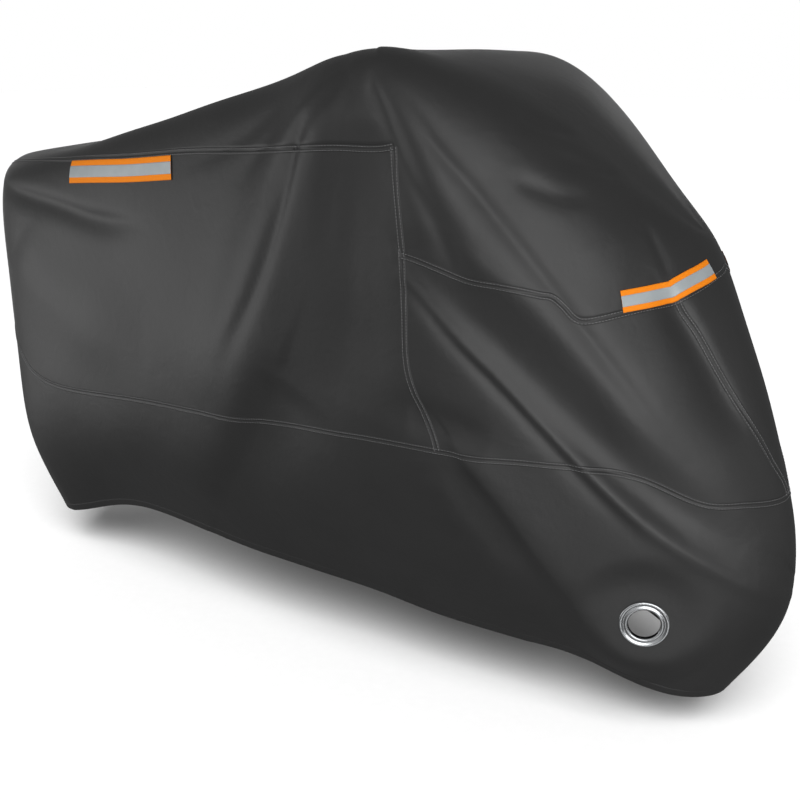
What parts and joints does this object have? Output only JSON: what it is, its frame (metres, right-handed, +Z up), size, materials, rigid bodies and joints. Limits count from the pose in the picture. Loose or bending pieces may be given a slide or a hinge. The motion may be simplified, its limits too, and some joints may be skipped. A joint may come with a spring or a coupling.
{
  "type": "motorcycle cover",
  "caption": "Fitted cloth motorcycle cover in its draped shape, hollow and open along the hem, sewn from panels, with lock eyelets in the front skirt and reflective tape.",
  "frame": {"origin": "inner face of the top panel on the centre line, 60 mm behind the middle of the wheelbase, where the cover rests on the bike", "axes": "+X towards the nose, +Z up, +Y to the cover's left-hand side"},
  "size_m": [1.8993, 0.6598, 1.1413],
  "materials": {
    "cloth": "charcoal coated polyester, soft sheen",
    "eyelet_metal": "pressed metal, slightly dulled",
    "orange_tape": "bright orange woven tape",
    "silver_tape": "grey reflective film"
  },
  "bodies": {
    "root": {"top_panel": "cloth", "nose_panel": "cloth", "rear_side_right": "cloth", "front_side_right": "cloth", "skirt_right": "cloth", "rear_side_left": "cloth", "front_side_left": "cloth", "skirt_left": "cloth", "eyelet_ring_right": "eyelet_metal", "eyelet_washer_right": "eyelet_metal", "eyelet_ring_left": "eyelet_metal", "eyelet_washer_left": "eyelet_metal", "tape_rear_right": "orange_tape", "silver_rear_right": "silver_tape", "tape_front_right": "orange_tape", "silver_front_right": "silver_tape", "tape_rear_left": "orange_tape", "silver_rear_left": "silver_tape", "tape_front_left": "orange_tape", "silver_front_left": "silver_tape"}
  },
  "joints": []
}
